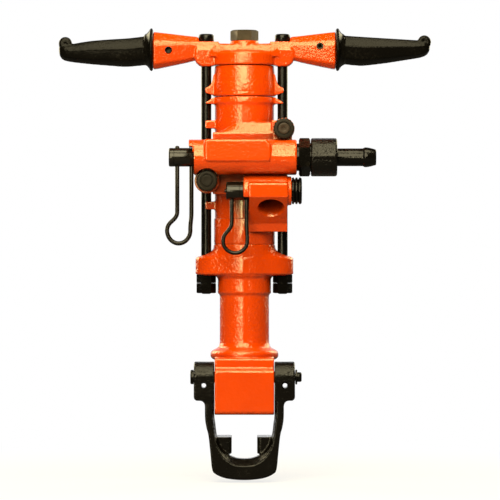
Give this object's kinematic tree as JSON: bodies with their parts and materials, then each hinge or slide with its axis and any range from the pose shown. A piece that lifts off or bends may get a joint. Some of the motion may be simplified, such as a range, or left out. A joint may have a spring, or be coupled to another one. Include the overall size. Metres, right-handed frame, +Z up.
{
  "type": "rock drill",
  "caption": "Hand-held pneumatic rock drill with T-handle, throttle and blow valve levers, side rods, air inlet, hexagon chuck and swinging steel retainer.",
  "frame": {"origin": "mouth of the chuck on the drill axis, level with the bottom face of the front head", "axes": "+Z up along the drill axis to the handles, +X towards the air hose, -Y the front with the throttle valve body"},
  "size_m": [0.5198, 0.1441, 0.6307],
  "materials": {
    "body_paint": "gloss orange enamel over a cast skin",
    "black_enamel": "gloss black enamel",
    "dark_steel": "blackened steel",
    "bright_steel": "ground steel",
    "bronze": "machined bronze",
    "grip_rubber": "moulded black rubber, satin"
  },
  "bodies": {
    "root": {"front_head": "body_paint", "front_head_bush": "bronze", "front_ring": "body_paint", "cylinder": "body_paint", "ratchet_ring": "bright_steel", "thrust_washer": "bronze", "ratchet_housing": "body_paint", "valve_chest": "bright_steel", "valve_cover": "bright_steel", "backhead": "body_paint", "backhead_plug": "dark_steel", "blow_tube": "bright_steel", "valve_body": "body_paint", "valve_body_screw_upper": "dark_steel", "valve_body_screw_lower": "dark_steel", "screw_disc_upper": "bronze", "screw_disc_lower": "dark_steel", "blow_valve_plug": "black_enamel", "inlet_nut": "black_enamel", "swivel_sleeve": "black_enamel", "retainer_bolt": "black_enamel", "retainer_snap_ring": "black_enamel", "side_rod_left": "black_enamel", "side_rod_nut_left": "black_enamel", "side_rod_lock_nut_left": "black_enamel", "handle_core_left": "bright_steel", "handle_pin_left": "dark_steel", "grip_left": "grip_rubber", "side_rod_right": "black_enamel", "side_rod_nut_right": "black_enamel", "side_rod_lock_nut_right": "black_enamel", "handle_core_right": "bright_steel", "handle_pin_right": "dark_steel", "grip_right": "grip_rubber"},
    "chuck_set": {"chuck": "bright_steel", "chuck_bushing": "bright_steel", "chuck_driver": "bright_steel"},
    "hammer": {"piston": "bright_steel", "rifle_nut": "bronze"},
    "rifle": {"rifle_bar": "bright_steel"},
    "pawl_a": {"pawl_1": "bright_steel"},
    "pawl_b": {"pawl_2": "bright_steel"},
    "pawl_c": {"pawl_3": "bright_steel"},
    "pawl_d": {"pawl_4": "bright_steel"},
    "valve_ring": {"automatic_valve": "bright_steel"},
    "throttle": {"throttle_valve": "black_enamel", "throttle_lever": "dark_steel"},
    "blow": {"blow_valve": "black_enamel", "blow_lever": "dark_steel"},
    "retainer": {"retainer": "black_enamel"},
    "stem": {"hose_stem": "black_enamel"}
  },
  "joints": [
    {"name": "chuck_turn", "type": "hinge", "parent": "root", "child": "chuck_set", "pos_m": [0, 0, 0.075], "axis": [0, 0, 1], "continuous": true},
    {"name": "piston_stroke", "type": "slide", "parent": "chuck_set", "child": "hammer", "axis": [0, 0, 1], "range_m": [0, 0.064]},
    {"name": "rifle_turn", "type": "hinge", "parent": "chuck_set", "child": "rifle", "pos_m": [0, 0, 0.44], "axis": [0, 0, 1], "range_deg": [0, 22.6]},
    {"name": "pawl_1_swing", "type": "hinge", "parent": "rifle", "child": "pawl_a", "pos_m": [0.0205, 0, 0.4577], "axis": [0, 0, -1], "range_deg": [0, 12]},
    {"name": "pawl_2_swing", "type": "hinge", "parent": "rifle", "child": "pawl_b", "pos_m": [0, 0.0205, 0.4577], "axis": [0, 0, -1], "range_deg": [0, 12]},
    {"name": "pawl_3_swing", "type": "hinge", "parent": "rifle", "child": "pawl_c", "pos_m": [-0.0205, 0, 0.4577], "axis": [0, 0, -1], "range_deg": [0, 12]},
    {"name": "pawl_4_swing", "type": "hinge", "parent": "rifle", "child": "pawl_d", "pos_m": [0, -0.0205, 0.4577], "axis": [0, 0, -1], "range_deg": [0, 12]},
    {"name": "valve_slide", "type": "slide", "parent": "root", "child": "valve_ring", "axis": [0, 0, 1], "range_m": [0, 0.003]},
    {"name": "throttle_turn", "type": "hinge", "parent": "root", "child": "throttle", "pos_m": [-0.09, -0.07, 0.3563], "axis": [-1, 0, 0], "range_deg": [0, 90]},
    {"name": "blow_turn", "type": "hinge", "parent": "root", "child": "blow", "pos_m": [-0.015, -0.07, 0.31], "axis": [-1, 0, 0], "range_deg": [0, 50]},
    {"name": "retainer_swing", "type": "hinge", "parent": "root", "child": "retainer", "pos_m": [0, -0.042, 0.0518], "axis": [-1, 0, 0], "range_deg": [0, 100]},
    {"name": "stem_swivel", "type": "hinge", "parent": "root", "child": "stem", "pos_m": [0.14, -0.07, 0.3563], "axis": [1, 0, 0], "continuous": true}
  ],
  "couplings": [
    {"joint": "rifle_turn", "follows": "piston_stroke", "rad_per_m": 6.1359},
    {"joint": "pawl_2_swing", "follows": "pawl_1_swing", "ratio": 1},
    {"joint": "pawl_3_swing", "follows": "pawl_1_swing", "ratio": 1},
    {"joint": "pawl_4_swing", "follows": "pawl_1_swing", "ratio": 1}
  ]
}
